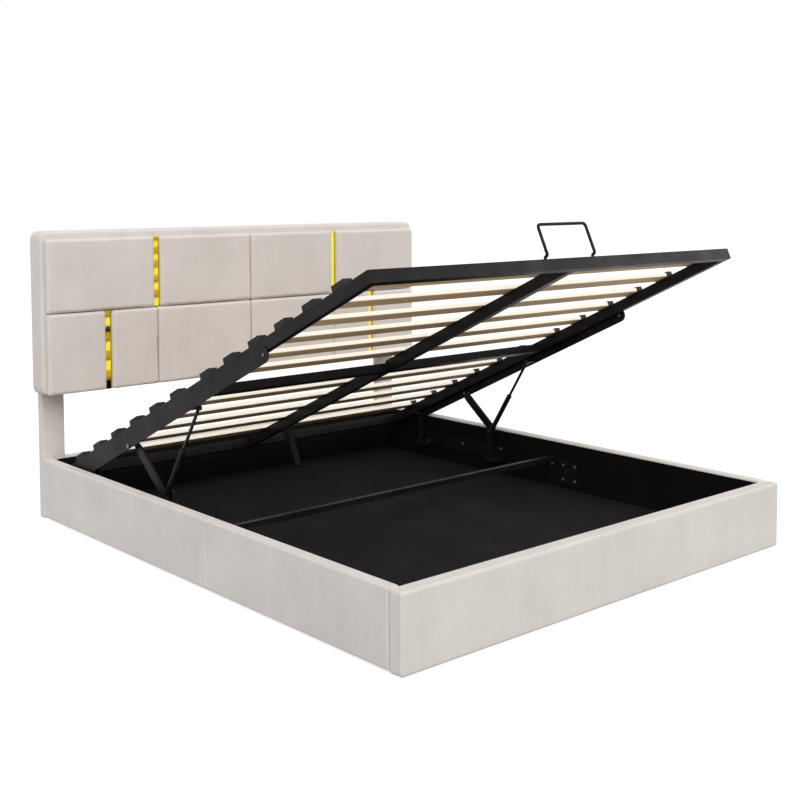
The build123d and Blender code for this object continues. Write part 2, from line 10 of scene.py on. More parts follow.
import bpy
import numpy as np
from mathutils import Matrix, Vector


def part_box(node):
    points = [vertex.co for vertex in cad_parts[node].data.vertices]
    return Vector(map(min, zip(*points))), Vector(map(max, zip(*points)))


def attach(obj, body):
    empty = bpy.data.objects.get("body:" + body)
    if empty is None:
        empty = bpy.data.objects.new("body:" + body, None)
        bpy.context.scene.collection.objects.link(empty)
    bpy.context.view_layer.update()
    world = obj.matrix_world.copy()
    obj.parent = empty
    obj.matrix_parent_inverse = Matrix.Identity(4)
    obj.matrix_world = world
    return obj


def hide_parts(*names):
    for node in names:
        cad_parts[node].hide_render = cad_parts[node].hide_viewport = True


bl_info = {
    "name": "Lift-up Storage Bed",
    "version": (1, 0, 0),
    "blender": (4, 5, 0),
    "location": "3D View > Sidebar > Storage Bed",
    "description": "Upholstery, steelwork, slats and studio for a lift-up storage bed",
    "category": "Add Mesh",
}

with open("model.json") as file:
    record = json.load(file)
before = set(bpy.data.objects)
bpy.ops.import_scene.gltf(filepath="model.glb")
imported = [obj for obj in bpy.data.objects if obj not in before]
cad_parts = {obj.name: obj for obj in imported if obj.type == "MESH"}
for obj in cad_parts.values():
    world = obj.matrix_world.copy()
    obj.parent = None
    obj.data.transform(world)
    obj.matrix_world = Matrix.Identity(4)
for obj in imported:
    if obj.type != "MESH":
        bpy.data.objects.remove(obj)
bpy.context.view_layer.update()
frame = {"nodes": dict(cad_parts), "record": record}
NODES = frame["nodes"]

CUSHIONS = sorted(name for name in NODES if name.startswith("headboard_cushion"))
SIDE_RAILS = sorted(name for name in NODES if name.startswith("side_rail"))
LININGS = sorted(name for name in NODES if name.startswith("liner"))
FLOOR_PANELS = ["floor_panel_foot", "floor_panel_head"]
SLATS = sorted(name for name in NODES if name.startswith("slats_"))
HOLDERS = sorted(name for name in NODES if name.startswith("slat_holders"))
STRUT_RODS = ["strut_rod_left", "strut_rod_right"]
PINS = ["bracket_pins", "platform_pins"]
GOLD = ["gold_strips_bottom", "gold_strips_top"]
STEEL = sorted(m["node"] for m in frame["record"]["subparts"]
               if m["material_slot"] == "black_steel" and m["node"] not in STRUT_RODS)

# Radius and height of a bolt's head
RAIL_BOLT_HEAD = (0.007, 0.003)
BOARD_BOLT_HEAD = (0.009, 0.004)

# Width of each sun, its tilt from straight down and its turn, in degrees
SUNS = {"key_light": (50, 48, -38), "side_light": (20, 68, 65)}


def tone(red, green, blue):
    """A colour from its 0 to 255 screen values, as linear light."""
    share = np.array([red, green, blue]) / 255.0
    light = np.where(share <= 0.04045, share / 12.92, ((share + 0.055) / 1.055) ** 2.4)
    return tuple(float(v) for v in light)


def colour_property(name, description, default):
    """A colour that a user can change."""
    return bpy.props.FloatVectorProperty(name=name, description=description, size=3,
                                         subtype="COLOR", min=0.0, max=1.0, default=default)


def length_property(name, description, default, low=0.0, high=1.0):
    """A length that a user can change."""
    return bpy.props.FloatProperty(name=name, description=description, default=default,
                                   min=low, max=high, unit="LENGTH", precision=4)


class BedUpholsterySettings(bpy.types.PropertyGroup):
    """Sizes and colours of the velvet covers and their filling."""

    light_pile: colour_property("Light pile", "Velvet brushed towards the light",
                                tone(217, 211, 206))
    dark_pile: colour_property("Dark pile", "Velvet brushed away from the light",
                               tone(203, 196, 191))
    cushion_edge: length_property("Cushion edge", "Radius of a cushion's edge", 0.0052)
    cushion_corner: length_property("Cushion corner", "Radius of a cushion's corner", 0.007)
    cushion_swell: length_property("Cushion swell", "Furthest that the filling pushes", 0.005)
    cushion_inset: length_property("Cushion inset", "Shrinking before the filling", 0.0003)
    voxel: length_property("Cloth step", "Size of the cloth's mesh while it swells", 0.006,
                           0.004, 0.02)
    pressure: bpy.props.FloatProperty(name="Filling pressure", default=4.0, min=0.0, max=20.0,
                                      description="Pressure of the filling in a cushion")
    board_edge: length_property("Board edge", "Radius of the headboard's edge", 0.012)
    board_corner: length_property("Board corner", "Radius of the headboard's corner", 0.028)
    rail_edge: length_property("Rail edge", "Radius of a side rail's edge", 0.006)
    foot_edge: length_property("Footboard edge", "Radius of the footboard's edge", 0.010)
    post_edge: length_property("Post edge", "Radius of a post's edge", 0.004)
    crown: length_property("Rail crown", "How far the padding stands out in the middle", 0.0018)
    seam_depth: length_property("Seam depth", "Depth of a sewn seam", 0.0016)
    seam_width: length_property("Seam width", "Width of a sewn seam", 0.0030)


class BedSteelSettings(bpy.types.PropertyGroup):
    """Colours of the steel, the plastic holders and the lining."""

    paint: colour_property("Steel paint", "Powder coat of the frame and plates",
                           tone(19, 16, 17))
    strut_paint: colour_property("Strut paint", "Finish of the struts' rods", tone(24, 23, 24))
    holder: colour_property("Holder plastic", "Moulded slat holders", tone(26, 24, 25))
    lining: colour_property("Lining cloth", "Cloth inside the storage box", tone(17, 15, 16))
    floor_cloth: colour_property("Floor cloth", "Cloth over the floor panels",
                                 tone(25, 23, 24))
    zinc: colour_property("Zinc", "Plating of bolts and pins", tone(108, 108, 112))
    bolt_socket: length_property("Bolt socket", "Half width of the socket in a bolt's head",
                                 0.0030)


class BedWoodSettings(bpy.types.PropertyGroup):
    """Colours of the slats and of the gold strips."""

    # Painted highlight: this pale cream on the slats' edges stands in for light on the lit
    # edges, and the darker face colours below stand in for shade on the undersides; the grain
    # itself is the wood's own
    lit_edge_wood: colour_property("Edge wood", "Sawn edges of the slats", tone(249, 243, 228))
    pale_wood: colour_property("Pale wood", "Early wood of the slats' faces",
                               tone(238, 205, 162))
    brown_wood: colour_property("Brown wood", "Late wood of the slats' faces",
                                tone(208, 168, 122))
    gold: colour_property("Gold", "Polished strips of the headboard", tone(240, 220, 52))


class BedStageSettings(bpy.types.PropertyGroup):
    """The studio: light, floor and camera."""

    floor: colour_property("Floor", "Colour of the studio floor", (0.45, 0.45, 0.45))
    floor_glow: bpy.props.FloatProperty(name="Floor glow", default=0.64, min=0.0, max=1.0,
                                        description="Light that the floor adds for the view")
    sky: bpy.props.FloatProperty(name="Sky", default=0.62, min=0.0, max=3.0,
                                 description="Strength of the even light all round")
    key: bpy.props.FloatProperty(name="Key light", default=1.9, min=0.0, max=10.0,
                                 description="Strength of the soft sun from the left foot end")
    side: bpy.props.FloatProperty(name="Side light", default=0.5, min=0.0, max=10.0,
                                  description="Strength of the soft sun from the right")
    camera_place: bpy.props.FloatVectorProperty(
        name="Camera place", description="Where the camera stands", size=3,
        subtype="TRANSLATION", unit="LENGTH", default=(-2.865, -3.345, 1.249))
    camera_turn: bpy.props.FloatProperty(
        name="Camera turn", description="Turn of the view from +Y towards +X",
        subtype="ANGLE", default=math.radians(41.93))
    camera_drop: bpy.props.FloatProperty(
        name="Camera drop", description="How far the view looks down",
        subtype="ANGLE", default=math.radians(3.91))
    camera_roll: bpy.props.FloatProperty(
        name="Camera roll", description="Turn of the view about its own axis",
        subtype="ANGLE", default=math.radians(-0.083))
    lens: bpy.props.FloatProperty(name="Lens", description="Focal length in millimetres",
                                  default=55.17, min=10.0, max=200.0)
    shift: bpy.props.FloatVectorProperty(name="Shift", size=2, default=(-0.0258, -0.161),
                                         description="Sideways and upward shift of the view")


# Shader building


def add_node(tree, kind, inputs=None, **settings):
    """Add a shader node with its settings, and give or link each named input."""
    made = tree.nodes.new(kind)
    for name, value in settings.items():
        setattr(made, name, value)
    for name, value in (inputs or {}).items():
        if isinstance(value, bpy.types.NodeSocket):
            tree.links.new(value, made.inputs[name])
        else:
            made.inputs[name].default_value = value
    return made


def maths(tree, operation, first, second=0.0):
    """One step of arithmetic between two values or sockets."""
    made = add_node(tree, "ShaderNodeMath", {0: first, 1: second}, operation=operation)
    return made.outputs[0]


def noise(tree, vector, scale, detail=2.0, rough=0.5):
    """A soft random value over space."""
    inputs = {"Vector": vector, "Scale": scale, "Detail": detail, "Roughness": rough}
    return add_node(tree, "ShaderNodeTexNoise", inputs).outputs["Fac"]


def stretch(tree, vector, scales):
    """A vector multiplied along its three axes."""
    made = add_node(tree, "ShaderNodeVectorMath", {0: vector, 1: scales}, operation="MULTIPLY")
    return made.outputs["Vector"]


def spread(tree, value, low, high, to_low=0.0, to_high=1.0):
    """A value taken from one range to another, held at the ends."""
    inputs = {"Value": value, "From Min": low, "From Max": high, "To Min": to_low,
              "To Max": to_high}
    return add_node(tree, "ShaderNodeMapRange", inputs).outputs["Result"]


def blend_colours(tree, share, first, second):
    """A colour between two colours."""
    made = add_node(tree, "ShaderNodeMix", data_type="RGBA")
    for place, value in ((0, share), (6, first), (7, second)):
        if isinstance(value, bpy.types.NodeSocket):
            tree.links.new(value, made.inputs[place])
        elif place == 0:
            made.inputs[place].default_value = value
        else:
            made.inputs[place].default_value = (*value[:3], 1.0)
    return made.outputs[2]


def node_group(name, takes, gives):
    """A shader group with named inputs, each a kind and a default, and named outputs."""
    tree = bpy.data.node_groups.new(name, "ShaderNodeTree")
    for label, (kind, default) in takes.items():
        socket = tree.interface.new_socket(label, in_out="INPUT", socket_type=kind)
        if default is not None:
            socket.default_value = default
    for label, kind in gives.items():
        tree.interface.new_socket(label, in_out="OUTPUT", socket_type=kind)
    return tree, tree.nodes.new("NodeGroupInput").outputs, tree.nodes.new("NodeGroupOutput")


VECTOR, COLOUR, NUMBER = "NodeSocketVector", "NodeSocketColor", "NodeSocketFloat"
SURFACE = {"Color": COLOUR, "Roughness": NUMBER, "Height": NUMBER}


def velvet_group():
    """Short pile: patches brushed both ways, upright strokes and single fibres."""
    takes = {"Vector": (VECTOR, None), "Light": (COLOUR, None), "Dark": (COLOUR, None),
             "Patch Scale": (NUMBER, 5.0), "Fibre Scale": (NUMBER, 620.0)}
    tree, given, out = node_group("Velvet pile", takes, SURFACE)
    patch = noise(tree, given["Vector"], given["Patch Scale"], detail=3.0, rough=0.55)
    upright = stretch(tree, given["Vector"], (1.0, 1.0, 0.28))
    stroke = noise(tree, upright, 21.0, detail=3.0, rough=0.6)
    fibre = noise(tree, given["Vector"], given["Fibre Scale"], rough=0.6)
    nap = maths(tree, "ADD", maths(tree, "MULTIPLY", patch, 0.7),
                maths(tree, "MULTIPLY", stroke, 0.3))
    share = spread(tree, nap, 0.34, 0.66)
    flecked = maths(tree, "ADD", maths(tree, "MULTIPLY", share, 0.7),
                    maths(tree, "MULTIPLY", fibre, 0.3))
    tree.links.new(blend_colours(tree, flecked, given["Dark"], given["Light"]),
                   out.inputs["Color"])
    tree.links.new(spread(tree, nap, 0.3, 0.7, 0.9, 0.78), out.inputs["Roughness"])
    height = maths(tree, "ADD", maths(tree, "MULTIPLY", fibre, 0.65),
                   maths(tree, "MULTIPLY", stroke, 0.35))
    tree.links.new(height, out.inputs["Height"])
    return tree


def coat_group():
    """Paint or moulded plastic: fine peel, faint cloudiness and a little dust."""
    takes = {"Vector": (VECTOR, None), "Base": (COLOUR, None), "Dust": (COLOUR, None),
             "Dust Share": (NUMBER, 0.2), "Grain Scale": (NUMBER, 900.0),
             "Low Gloss": (NUMBER, 0.5), "High Gloss": (NUMBER, 0.36)}
    tree, given, out = node_group("Coated surface", takes, SURFACE)
    cloud = noise(tree, given["Vector"], 9.0, detail=4.0, rough=0.6)
    peel = noise(tree, given["Vector"], given["Grain Scale"])
    speck = noise(tree, given["Vector"], 160.0, detail=4.0, rough=0.7)
    speck = spread(tree, speck, 0.56, 0.7)
    dusty = maths(tree, "MULTIPLY", maths(tree, "MULTIPLY", cloud, speck), given["Dust Share"])
    mixed = maths(tree, "ADD", dusty,
                  maths(tree, "MULTIPLY", spread(tree, cloud, 0.35, 0.7), 0.04))
    tree.links.new(blend_colours(tree, mixed, given["Base"], given["Dust"]),
                   out.inputs["Color"])
    gloss = add_node(tree, "ShaderNodeMapRange",
                     {"Value": cloud, "From Min": 0.3, "From Max": 0.7,
                      "To Min": given["Low Gloss"], "To Max": given["High Gloss"]})
    rough = maths(tree, "ADD", gloss.outputs["Result"], maths(tree, "MULTIPLY", dusty, 0.6))
    tree.links.new(rough, out.inputs["Roughness"])
    tree.links.new(peel, out.inputs["Height"])
    return tree


def weave_group():
    """Plain cloth: two crossed sets of threads with slubs."""
    takes = {"Vector": (VECTOR, None), "Base": (COLOUR, None), "Thread Scale": (NUMBER, 260.0)}
    tree, given, out = node_group("Plain weave", takes, SURFACE)
    threads = []
    for direction in ("X", "Y", "Z"):
        inputs = {"Vector": given["Vector"], "Scale": given["Thread Scale"],
                  "Distortion": 0.6, "Detail": 1.0}
        threads.append(add_node(tree, "ShaderNodeTexWave", inputs, wave_type="BANDS",
                                bands_direction=direction).outputs["Fac"])
    crossed = maths(tree, "MULTIPLY", threads[0], threads[1])
    crossed = maths(tree, "ADD", crossed, maths(tree, "MULTIPLY", threads[1], threads[2]))
    drawn = stretch(tree, given["Vector"], (30.0, 8.0, 8.0))
    slub = noise(tree, drawn, 6.0, detail=3.0, rough=0.6)
    worn = noise(tree, given["Vector"], 4.0, detail=4.0, rough=0.6)
    lift = spread(tree, worn, 0.35, 0.75, 0.82, 1.25)
    shade = maths(tree, "MULTIPLY", lift, spread(tree, crossed, 0.0, 1.2, 0.85, 1.1))
    lit = add_node(tree, "ShaderNodeVectorMath", {0: given["Base"]}, operation="SCALE")
    tree.links.new(shade, lit.inputs["Scale"])
    tree.links.new(lit.outputs["Vector"], out.inputs["Color"])
    tree.links.new(spread(tree, worn, 0.3, 0.7, 0.96, 0.84), out.inputs["Roughness"])
    height = maths(tree, "ADD", crossed, maths(tree, "MULTIPLY", slub, 0.4))
    tree.links.new(height, out.inputs["Height"])
    return tree


def wood_group():
    """Planed wood: grain drawn out along X on the faces, and edges between them painted paler, a
    painted highlight that leaves the faces darker as painted shade.

    The level is how far a point lies from the lowest to the highest face along
    the way given; the edges are where it is neither near 0 nor near 1.
    """
    takes = {"Vector": (VECTOR, None), "Pale": (COLOUR, None), "Brown": (COLOUR, None),
             "Edge": (COLOUR, None), "Up": (VECTOR, None), "Lowest": (NUMBER, 0.0),
             "Highest": (NUMBER, 1.0)}
    tree, given, out = node_group("Planed wood", takes, SURFACE)
    drawn = stretch(tree, given["Vector"], (1.6, 46.0, 46.0))
    figure = noise(tree, drawn, 1.8, detail=5.0, rough=0.62)
    thread = stretch(tree, given["Vector"], (14.0, 420.0, 420.0))
    pores = noise(tree, thread, 2.2, rough=0.6)
    whole = stretch(tree, given["Vector"], (0.4, 6.5, 6.5))
    board = noise(tree, whole, 1.0, detail=0.0)
    grain = maths(tree, "ADD", maths(tree, "MULTIPLY", figure, 0.7),
                  maths(tree, "MULTIPLY", board, 0.5))
    face = blend_colours(tree, spread(tree, grain, 0.42, 0.82), given["Pale"], given["Brown"])
    face = blend_colours(tree, maths(tree, "MULTIPLY", spread(tree, pores, 0.55, 0.75), 0.3),
                         face, given["Brown"])
    # The edge colour is a painted highlight for the lit edges, with a little of the grain mixed
    # in
    edge = blend_colours(tree, maths(tree, "MULTIPLY", spread(tree, figure, 0.45, 0.8), 0.25),
                         given["Edge"], given["Pale"])
    place = add_node(tree, "ShaderNodeVectorMath", {0: given["Vector"], 1: given["Up"]},
                     operation="DOT_PRODUCT").outputs["Value"]
    level = add_node(tree, "ShaderNodeMapRange",
                     {"Value": place, "From Min": given["Lowest"],
                      "From Max": given["Highest"]}).outputs["Result"]
    off_middle = maths(tree, "ABSOLUTE", maths(tree, "SUBTRACT", level, 0.5))
    # Painted light: the middle of the thickness, the edges, takes the pale lit-edge colour, and
    # the faces keep the darker grain colours as painted shade
    colour = blend_colours(tree, spread(tree, off_middle, 0.42, 0.48), edge, face)
    tree.links.new(colour, out.inputs["Color"])
    tree.links.new(spread(tree, figure, 0.3, 0.7, 0.66, 0.52), out.inputs["Roughness"])
    height = maths(tree, "SUBTRACT", figure, maths(tree, "MULTIPLY", pores, 0.5))
    tree.links.new(height, out.inputs["Height"])
    return tree


def metal_group():
    """Bright metal: a broad wave in the sheet and finger haze."""
    takes = {"Vector": (VECTOR, None), "Base": (COLOUR, None), "Wave Scale": (NUMBER, 40.0),
             "Low Gloss": (NUMBER, 0.3), "High Gloss": (NUMBER, 0.1)}
    tree, given, out = node_group("Bright metal", takes, SURFACE)
    wave = noise(tree, given["Vector"], given["Wave Scale"], detail=1.0, rough=0.4)
    haze = noise(tree, given["Vector"], 70.0, detail=4.0, rough=0.65)
    haze_tint = (0.2, 0.16, 0.1)
    dull = blend_colours(tree, maths(tree, "MULTIPLY", haze, 0.14), given["Base"], haze_tint)
    tree.links.new(dull, out.inputs["Color"])
    gloss = add_node(tree, "ShaderNodeMapRange",
                     {"Value": haze, "From Min": 0.35, "From Max": 0.7,
                      "To Min": given["High Gloss"], "To Max": given["Low Gloss"]})
    tree.links.new(gloss.outputs["Result"], out.inputs["Roughness"])
    tree.links.new(wave, out.inputs["Height"])
    return tree


def finish_material(name, group, values, bump, **fixed):
    """A material whose colour, roughness and relief come from a group.

    bump is the relief's strength and depth; fixed are plain shader values.
    """
    material = bpy.data.materials.new(name)
    material.use_nodes = True
    tree = material.node_tree
    tree.nodes.clear()
    out = tree.nodes.new("ShaderNodeOutputMaterial")
    shader = tree.nodes.new("ShaderNodeBsdfPrincipled")
    tree.links.new(shader.outputs["BSDF"], out.inputs["Surface"])
    look = tree.nodes.new("ShaderNodeGroup")
    look.node_tree = group
    place = tree.nodes.new("ShaderNodeTexCoord")
    tree.links.new(place.outputs["Object"], look.inputs["Vector"])
    for label, value in values.items():
        socket = look.inputs[label]
        socket.default_value = (*value, 1.0) if socket.type == "RGBA" else value
    relief = add_node(tree, "ShaderNodeBump", {"Strength": bump[0], "Distance": bump[1],
                                               "Height": look.outputs["Height"]})
    tree.links.new(look.outputs["Color"], shader.inputs["Base Color"])
    tree.links.new(look.outputs["Roughness"], shader.inputs["Roughness"])
    tree.links.new(relief.outputs["Normal"], shader.inputs["Normal"])
    for label, value in fixed.items():
        shader.inputs[label.replace("_", " ")].default_value = value
    return material


def dress(names, material):
    """Give CAD nodes their finish."""
    for name in names:
        slots = NODES[name].data.materials
        slots.clear()
        slots.append(material)


# Shapes


def side_lines(low, high, edge, step):
    """Places along one side of a box.

    They stand close together within a little more than the edge's radius, and
    are evenly spaced between, about one step apart.
    """
    near = edge * np.array([0.0, 0.16, 0.34, 0.52, 0.7, 0.86, 1.0, 1.35])
    count = max(2, int(round((high - low - 2.7 * edge) / step)))
    middle = np.linspace(low + near[-1], high - near[-1], count + 1)[1:-1]
    return np.concatenate([low + near, middle, (high - near)[::-1]])


def box_shell(lines):
    """The outer points and the outward quads of a lattice.

    The lattice is every combination of the three sets of lines; a point is
    outer if one of its three indices is the first or the last.
    """
    shape = [len(line) for line in lines]
    lattice = np.stack(np.meshgrid(*lines, indexing="ij"), -1)
    places = np.indices(shape)
    skin = np.zeros(shape, bool)
    for axis in range(3):
        skin |= (places[axis] == 0) | (places[axis] == shape[axis] - 1)
    index = np.full(shape, -1)
    index[skin] = np.arange(skin.sum())
    quads = []
    for axis in range(3):
        for end in (0, -1):
            face = np.take(index, end, axis)
            ring = np.stack([face[:-1, :-1], face[1:, :-1], face[1:, 1:], face[:-1, 1:]], -1)
            ring = ring.reshape(-1, 4)
            quads.append(ring[:, ::-1] if (end == 0) == (axis != 1) else ring)
    return lattice[skin], np.concatenate(quads)


def rounded_slab(points, low, high, edge, corner, thin):
    """Points of a box moved onto a slab with round corners and round edges.

    A core lies one edge radius inside the slab, whose outline has corners of
    the given radius.  Each point goes to the core's nearest place plus one edge
    radius along the way from there to the point, which is also its normal.
    """
    flat = [axis for axis in range(3) if axis != thin]
    core = points.copy()
    near = np.clip(points[:, flat], low[flat] + corner, high[flat] - corner)
    reach = points[:, flat] - near
    length = np.maximum(np.linalg.norm(reach, axis=1, keepdims=True), 1e-9)
    core[:, flat] = near + reach * np.minimum(1.0, (corner - edge) / length)
    core[:, thin] = np.clip(points[:, thin], low[thin] + edge, high[thin] - edge)
    out = points - core
    normal = out / np.maximum(np.linalg.norm(out, axis=1, keepdims=True), 1e-9)
    return core + edge * normal, normal


def face_share(points, low, high, thin, way):
    """How far each point belongs to the face that looks one way along thin."""
    middle, half = (low[thin] + high[thin]) / 2, (high[thin] - low[thin]) / 2
    share = np.clip(way * (points[:, thin] - middle) / half, 0.0, 1.0)
    return share * share * (3.0 - 2.0 * share)


def crown_share(points, low, high, thin):
    """(1 - s^4)(1 - t^4) over a face, where s and t run from -1 to 1 across it."""
    share = np.ones(len(points))
    for axis in range(3):
        if axis != thin:
            middle, half = (low[axis] + high[axis]) / 2, (high[axis] - low[axis]) / 2
            share *= 1.0 - np.clip(np.abs(points[:, axis] - middle) / half, 0, 1) ** 4
    return share


def soft_waves(points, size, seed):
    """A smooth random value from -1 to 1: the mean of seeded plane waves."""
    waves = 7
    maker = np.random.default_rng(seed)
    ways = maker.normal(size=(waves, 3))
    ways /= np.linalg.norm(ways, axis=1, keepdims=True)
    turns = maker.uniform(0, 2 * np.pi, waves)
    lengths = size * maker.uniform(0.6, 1.7, waves)
    return np.sin(points @ (ways.T * 2 * np.pi / lengths) + turns).mean(axis=1)


def new_piece(name, points, faces, material):
    """A smooth mesh object at the origin, made from arrays."""
    mesh = bpy.data.meshes.new(name)
    mesh.from_pydata(points.tolist(), [], faces.tolist())
    mesh.update()
    mesh.shade_smooth()
    mesh.materials.append(material)
    piece = bpy.data.objects.new(name, mesh)
    bpy.context.scene.collection.objects.link(piece)
    return piece


def wrapped_board(name, node, edge, corner, thin, way, material, seams=()):
    """A board wrapped in foam and velvet in the place of a CAD node.

    The face that looks one way along thin swells by the crown, its cloth
    ripples by a fraction of a millimetre, and each seam, an axis and a place
    on it, draws the surface in along a bell curve.
    """
    mesh_step, ripple_depth, ripple_length = 0.018, 0.0004, 0.16
    settings = bpy.context.scene.bed_upholstery
    low, high = (np.array(v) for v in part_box(node))
    lines = [side_lines(low[a], high[a], edge, mesh_step) for a in range(3)]
    box_points, quads = box_shell(lines)
    points, normal = rounded_slab(box_points, low, high, edge, corner, thin)
    face = face_share(points, low, high, thin, way)
    ripple = ripple_depth * soft_waves(points, ripple_length, len(name)) + ripple_depth
    crown = crown_share(points, low, high, thin)
    points[:, thin] += way * face * (settings.crown * crown + ripple * crown)
    for axis, place in seams:
        dip = np.exp(-((points[:, axis] - place) / settings.seam_width) ** 2)
        points -= normal * (settings.seam_depth * dip)[:, None]
    piece = new_piece(name, points, quads, material)
    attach(piece, "base")
    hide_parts(node)
    return piece


def evaluated_mesh(piece):
    """A piece's mesh with its modifiers applied."""
    graph = bpy.context.evaluated_depsgraph_get()
    return bpy.data.meshes.new_from_object(piece.evaluated_get(graph), depsgraph=graph)


def mesh_points(mesh):
    """A mesh's points as an array."""
    flat = np.empty(len(mesh.vertices) * 3)
    mesh.vertices.foreach_get("co", flat)
    return flat.reshape(-1, 3)


def fill_cushion(piece, low, high, settings):
    """Swell a closed cover with pressure, as stuffing does.

    The cover is remeshed evenly and simulated as cloth under pressure.  No
    point may move further than the swell, or out of the cushion's own place,
    and the sides stay upright, because they stand against the next cushions.
    """
    frames, margin, sideways = 20, 0.0002, (0, 2)
    remesh = piece.modifiers.new("Even mesh", "REMESH")
    remesh.mode = "VOXEL"
    remesh.voxel_size = settings.voxel
    even = evaluated_mesh(piece)
    piece.modifiers.clear()
    piece.data = even
    start = mesh_points(even)
    cloth = piece.modifiers.new("Filling", "CLOTH")
    cloth.settings.use_pressure = True
    cloth.settings.uniform_pressure_force = settings.pressure
    cloth.settings.effector_weights.gravity = 0.0
    cloth.settings.quality = 4
    cloth.point_cache.frame_start = 1
    cloth.point_cache.frame_end = frames
    scene = bpy.context.scene
    for count in range(1, frames + 1):
        scene.frame_set(count)
    swollen = mesh_points(evaluated_mesh(piece))
    piece.modifiers.clear()
    scene.frame_set(1)
    move = swollen - start
    move[:, sideways] = 0.0
    ends = start + np.clip(move, -settings.cushion_swell, settings.cushion_swell)
    ends = np.clip(ends, low + margin, high - margin)
    even.vertices.foreach_set("co", ends.ravel())
    even.update()
    even.shade_smooth()


def headboard_cushion(name, node, material, seed):
    """A stuffed panel in the place of a CAD cushion, with its back flat on the board.

    The start is a slab with round edges and a crown of its own, whose sides
    pull in between the corners.  It stands back a little from the front that
    the filling may reach, which lies a little before the CAD cushion's.
    """
    front_room, stand_back, mesh_step = 0.003, 0.004, 0.014
    crown_height, pull_in, ripple_depth, ripple_length = 0.003, 0.001, 0.0006, 0.11
    settings = bpy.context.scene.bed_upholstery
    low, high = (np.array(v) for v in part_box(node))
    low[1] -= front_room
    inset = np.array([settings.cushion_inset, 0.0, settings.cushion_inset])
    start_low, start_high = low + inset, high - inset
    start_low[1] += stand_back
    edge, corner = settings.cushion_edge, settings.cushion_corner
    lines = [side_lines(start_low[a], start_high[a], edge, mesh_step) for a in range(3)]
    box_points, quads = box_shell(lines)
    points, normal = rounded_slab(box_points, start_low, start_high, edge, corner, 1)
    face = face_share(points, start_low, start_high, 1, -1)
    crown = crown_share(points, start_low, start_high, 1)
    ripple = ripple_depth * soft_waves(points, ripple_length, seed)
    points[:, 1] -= face * (crown_height * crown + ripple * crown)
    for axis, other in ((0, 2), (2, 0)):
        middle = (start_low + start_high) / 2
        half = (start_high - start_low) / 2
        across = np.clip((points[:, other] - middle[other]) / half[other], -1, 1)
        side = (points[:, axis] - middle[axis]) / half[axis]
        points[:, axis] -= pull_in * side ** 5 * (1 - across ** 2)
    piece = new_piece(name, points, quads, material)
    fill_cushion(piece, low, high, settings)
    piece.data.materials.clear()
    piece.data.materials.append(material)
    smooth = piece.modifiers.new("Smooth cover", "SUBSURF")
    smooth.levels = smooth.render_levels = 1
    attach(piece, "base")
    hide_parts(node)
    return piece


def bolt_heads(name, node, places, outward, radius, height, material):
    """Round-headed bolts with a six-sided socket, one at each place.

    A head is a stack of rings, closed by a fan below, which lies inside the
    piece it holds, and by a fan on the socket's floor.  Each ring has a radius
    and a level, a share of the head's height; towards the socket its outline
    goes from a circle to a hexagon, whose radius is its half width over the
    cosine of the angle from the nearest flat's middle.
    """
    socket = bpy.context.scene.bed_steel.bolt_socket
    count, sunk, socket_floor = 24, -0.1, 0.36
    turn = np.linspace(0, 2 * np.pi, count, endpoint=False)
    flat = (turn + np.pi / 6) % (np.pi / 3) - np.pi / 6
    circle, hexagon = np.full(count, radius), socket / np.cos(flat)
    rings = [(circle, sunk), (circle, 0.0), (circle, 0.35), (0.93 * circle, 0.68),
             (0.78 * circle, 0.92), (0.6 * circle, 1.0), (hexagon, 0.97), (hexagon, 0.4)]
    head = np.concatenate([np.stack([reach * np.cos(turn), reach * np.sin(turn),
                                     np.full(count, level * height)], -1)
                           for reach, level in rings])
    centres = np.array([[0.0, 0.0, sunk * height], [0.0, 0.0, socket_floor * height]])
    head = np.concatenate([head, centres])
    step = np.arange(count)
    following = (step + 1) % count
    quads = [np.stack([low + step, low + following, low + count + following,
                       low + count + step], -1)
             for low in range(0, count * (len(rings) - 1), count)]
    even = step[::2]
    last = count * (len(rings) - 1)
    middle = np.full(len(even), count * len(rings))
    quads.append(np.stack([middle, (even + 2) % count, even + 1, even], -1))
    quads.append(np.stack([middle + 1, last + even, last + even + 1,
                           last + (even + 2) % count], -1))
    quads = np.concatenate(quads)
    points, faces = [], []
    for k, place in enumerate(places):
        way = outward[k]
        across = np.array([0.0, 1.0, 0.0]) if abs(way[0]) > 0.5 else np.array([1.0, 0.0, 0.0])
        up = np.cross(way, across)
        basis = np.stack([across, up, way])
        points.append(place + head @ basis)
        faces.append(quads + k * len(head))
    piece = new_piece(name, np.concatenate(points), np.concatenate(faces), material)
    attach(piece, "base")
    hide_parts(node)
    return piece


def loose_parts(node):
    """The lowest and highest corner of each separate solid of a node.

    Points that share a place are one; points are joined along triangle edges
    by taking the lowest label of each edge until none changes.
    """
    mesh = NODES[node].data
    points = mesh_points(mesh)
    _, same = np.unique(np.round(points, 6), axis=0, return_inverse=True)
    same = same.ravel()
    mesh.calc_loop_triangles()
    corners = np.empty(len(mesh.loop_triangles) * 3, int)
    mesh.loop_triangles.foreach_get("vertices", corners)
    corners = same[corners].reshape(-1, 3)
    label = np.arange(same.max() + 1)
    while True:
        least = label[corners].min(axis=1)
        fresh = label.copy()
        for column in range(3):
            np.minimum.at(fresh, corners[:, column], least)
        fresh = fresh[fresh]
        if (fresh == label).all():
            break
        label = fresh
    owner = label[same]
    return [(points[owner == k].min(axis=0), points[owner == k].max(axis=0))
            for k in np.unique(owner)]


def platform_up():
    """The way the raised platform faces, square to the line between its end rails."""
    foot, head = (np.mean(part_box(f"platform_{end}_rail"), axis=0) for end in ("foot", "head"))
    along = (head - foot) / np.linalg.norm(head - foot)
    return np.array([0.0, -along[2], along[1]])


# Operators


